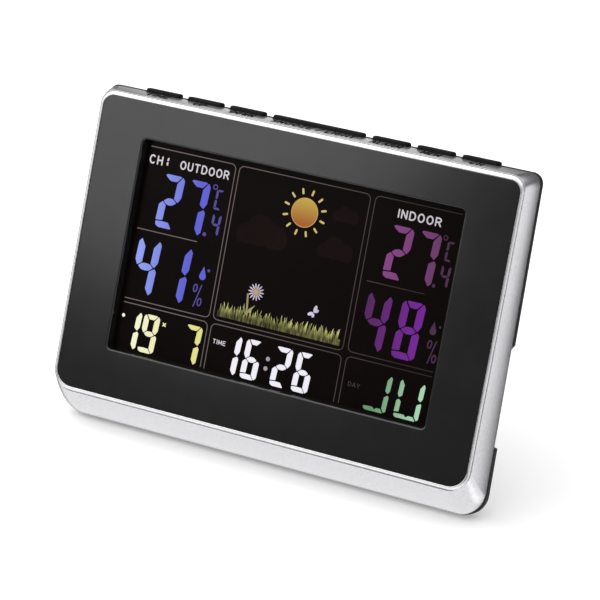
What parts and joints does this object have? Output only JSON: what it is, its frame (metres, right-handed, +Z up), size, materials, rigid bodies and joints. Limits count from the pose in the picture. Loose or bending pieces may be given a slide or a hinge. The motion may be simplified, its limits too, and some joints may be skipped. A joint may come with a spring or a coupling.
{
  "type": "home weather station",
  "caption": "Desktop home weather station: colour display in a black front panel and silver case, buttons on top, battery bay and fold-out stand at the back.",
  "frame": {"origin": "on the table, under the middle of the object's box with the stand open", "axes": "+X to the right seen from the front, -Y towards the viewer, +Z up; the panel leans back by 20 degrees"},
  "size_m": [0.1812, 0.077, 0.1258],
  "materials": {
    "black_panel": "satin black front panel",
    "adhesive": "double-sided foam tape",
    "silver_rim": "bright silver plated trim",
    "silver_case": "satin silver paint on plastic",
    "black_plastic": "fine-textured black moulding",
    "button_black": "smooth satin black moulding",
    "steel": "zinc-plated",
    "white_plastic": "matt white",
    "display_film": "dark polarizing film",
    "display_glass": "dark glass",
    "tinted_film": "printed colour zones",
    "light_guide": "clear acrylic",
    "rubber": "matt black",
    "circuit_board": "green solder mask",
    "component_black": "moulded component",
    "copper": "enamelled copper wire",
    "ferrite": "sintered, dark grey",
    "contact_metal": "nickel-plated spring steel",
    "cell_sleeve": "plain printed sleeve, no lettering"
  },
  "bodies": {
    "case": {"front_panel": "black_panel", "panel_adhesive": "adhesive", "bezel_ring": "silver_rim", "case_frame": "silver_case", "back_cover": "black_plastic", "case_screws": "steel", "lcd_holder": "white_plastic", "front_polarizer": "display_film", "lcd_glass": "display_glass", "colour_film": "tinted_film", "light_guide": "light_guide", "reflector_sheet": "white_plastic", "led_strips": "circuit_board", "zebra_connectors": "rubber", "main_board": "circuit_board", "main_board_parts": "component_black", "board_screws": "steel", "rf_receiver": "circuit_board", "rf_antenna_coil": "copper", "ferrite_rod": "ferrite", "ferrite_coil": "copper", "climate_sensor": "circuit_board", "buzzer": "component_black", "dc_jack": "component_black", "button_board": "circuit_board", "tact_switches": "component_black", "battery_springs": "contact_metal", "battery_contacts": "contact_metal", "stand_hinge_pin": "steel", "rubber_feet": "rubber", "battery_1": "cell_sleeve", "battery_2": "cell_sleeve", "battery_3": "cell_sleeve"},
    "stand": {"stand": "black_plastic", "stand_foot_pad": "rubber"},
    "battery_door": {"battery_door": "black_plastic"},
    "key_time": {"button_time": "button_black", "plunger_time": "component_black"},
    "key_up": {"button_up": "button_black", "plunger_up": "component_black"},
    "key_down": {"button_down": "button_black", "plunger_down": "component_black"},
    "key_snooze": {"button_snooze": "button_black", "plunger_snooze": "component_black"},
    "key_alarm": {"button_alarm": "button_black", "plunger_alarm": "component_black"},
    "key_memory": {"button_memory": "button_black", "plunger_memory": "component_black"},
    "key_channel": {"button_channel": "button_black", "plunger_channel": "component_black"}
  },
  "joints": [
    {"name": "stand_fold", "type": "hinge", "parent": "case", "child": "stand", "pos_m": [0, -0.01338, 0.01178], "axis": [1, 0, 0], "range_deg": [0, 79.5]},
    {"name": "battery_door_hinge", "type": "hinge", "parent": "case", "child": "battery_door", "pos_m": [0, 0.00834, 0.06709], "axis": [-1, 0, 0], "range_deg": [0, 90]},
    {"name": "press_time", "type": "slide", "parent": "case", "child": "key_time", "axis": [0, -0.342, -0.9397], "range_m": [0, 0.0005], "stiffness_N_per_m": 3000},
    {"name": "press_up", "type": "slide", "parent": "case", "child": "key_up", "axis": [0, -0.342, -0.9397], "range_m": [0, 0.0005], "stiffness_N_per_m": 3000},
    {"name": "press_down", "type": "slide", "parent": "case", "child": "key_down", "axis": [0, -0.342, -0.9397], "range_m": [0, 0.0005], "stiffness_N_per_m": 3000},
    {"name": "press_snooze", "type": "slide", "parent": "case", "child": "key_snooze", "axis": [0, -0.342, -0.9397], "range_m": [0, 0.0005], "stiffness_N_per_m": 3000},
    {"name": "press_alarm", "type": "slide", "parent": "case", "child": "key_alarm", "axis": [0, -0.342, -0.9397], "range_m": [0, 0.0005], "stiffness_N_per_m": 3000},
    {"name": "press_memory", "type": "slide", "parent": "case", "child": "key_memory", "axis": [0, -0.342, -0.9397], "range_m": [0, 0.0005], "stiffness_N_per_m": 3000},
    {"name": "press_channel", "type": "slide", "parent": "case", "child": "key_channel", "axis": [0, -0.342, -0.9397], "range_m": [0, 0.0005], "stiffness_N_per_m": 3000}
  ]
}
